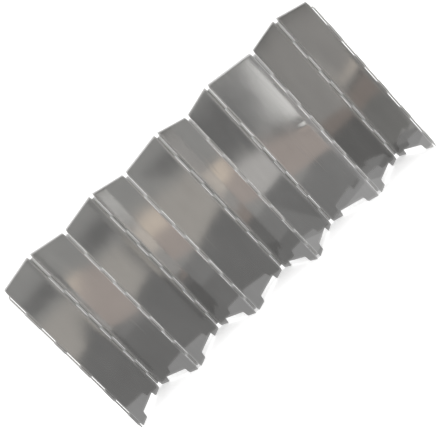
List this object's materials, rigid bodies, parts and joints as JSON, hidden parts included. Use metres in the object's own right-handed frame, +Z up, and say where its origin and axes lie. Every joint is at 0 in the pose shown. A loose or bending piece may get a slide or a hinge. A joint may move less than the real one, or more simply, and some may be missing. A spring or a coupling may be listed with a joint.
{
  "type": "folding stove windscreen",
  "caption": "Folding camping-stove windscreen: thin aluminium panels hinged edge to edge on steel wires, standing in a zigzag.",
  "frame": {"origin": "on the ground, under the middle of the standing row's box", "axes": "+X along the row, -Y towards the cook, +Z up"},
  "size_m": [0.501, 0.0862, 0.24],
  "materials": {
    "sheet": "bare rolled sheet, satin bright",
    "wire": "drawn wire, satin"
  },
  "bodies": {
    "panel_1": {"panel_1": "sheet", "hinge_pin_1": "wire"},
    "panel_2": {"panel_2": "sheet", "hinge_pin_2": "wire"},
    "panel_3": {"panel_3": "sheet", "hinge_pin_3": "wire"},
    "panel_4": {"panel_4": "sheet", "hinge_pin_4": "wire"},
    "panel_5": {"panel_5": "sheet", "hinge_pin_5": "wire"},
    "panel_6": {"panel_6": "sheet", "hinge_pin_6": "wire"},
    "panel_7": {"panel_7": "sheet", "hinge_pin_7": "wire"},
    "panel_8": {"panel_8": "sheet", "hinge_pin_8": "wire"},
    "panel_9": {"panel_9": "sheet", "hinge_pin_9": "wire"},
    "panel_10": {"panel_10": "sheet"},
    "stake_left": {"stake_left": "wire"},
    "stake_right": {"stake_right": "wire"}
  },
  "joints": [
    {"name": "hinge_1", "type": "hinge", "parent": "panel_2", "child": "panel_1", "pos_m": [-0.20754, 0.03316, 0.12], "axis": [0, 0, -1], "range_deg": [-69.5, 185.5]},
    {"name": "hinge_2", "type": "hinge", "parent": "panel_3", "child": "panel_2", "pos_m": [-0.14878, -0.0283, 0.12], "axis": [0, 0, 1], "range_deg": [-75, 150]},
    {"name": "hinge_3", "type": "hinge", "parent": "panel_4", "child": "panel_3", "pos_m": [-0.10035, 0.0416, 0.12], "axis": [0, 0, -1], "range_deg": [-68, 157]},
    {"name": "hinge_4", "type": "hinge", "parent": "panel_5", "child": "panel_4", "pos_m": [-0.04952, -0.02657, 0.12], "axis": [0, 0, 1], "range_deg": [-78.5, 146.5]},
    {"name": "hinge_5", "type": "hinge", "parent": "panel_5", "child": "panel_6", "pos_m": [0.01083, 0.03334, 0.12], "axis": [0, 0, 1], "range_deg": [-70, 155]},
    {"name": "hinge_6", "type": "hinge", "parent": "panel_6", "child": "panel_7", "pos_m": [0.05103, -0.0416, 0.12], "axis": [0, 0, -1], "range_deg": [-57, 168]},
    {"name": "hinge_7", "type": "hinge", "parent": "panel_7", "child": "panel_8", "pos_m": [0.09636, 0.03035, 0.12], "axis": [0, 0, 1], "range_deg": [-78, 147]},
    {"name": "hinge_8", "type": "hinge", "parent": "panel_8", "child": "panel_9", "pos_m": [0.16075, -0.0252, 0.12], "axis": [0, 0, -1], "range_deg": [-86.5, 138.5]},
    {"name": "hinge_9", "type": "hinge", "parent": "panel_9", "child": "panel_10", "pos_m": [0.21621, 0.03926, 0.12], "axis": [0, 0, 1], "range_deg": [-60, 195]},
    {"name": "stake_left_slide", "type": "slide", "parent": "panel_1", "child": "stake_left", "axis": [0, 0, -1], "range_m": [0, 0.024]},
    {"name": "stake_right_slide", "type": "slide", "parent": "panel_10", "child": "stake_right", "axis": [0, 0, -1], "range_m": [0, 0.024]}
  ]
}
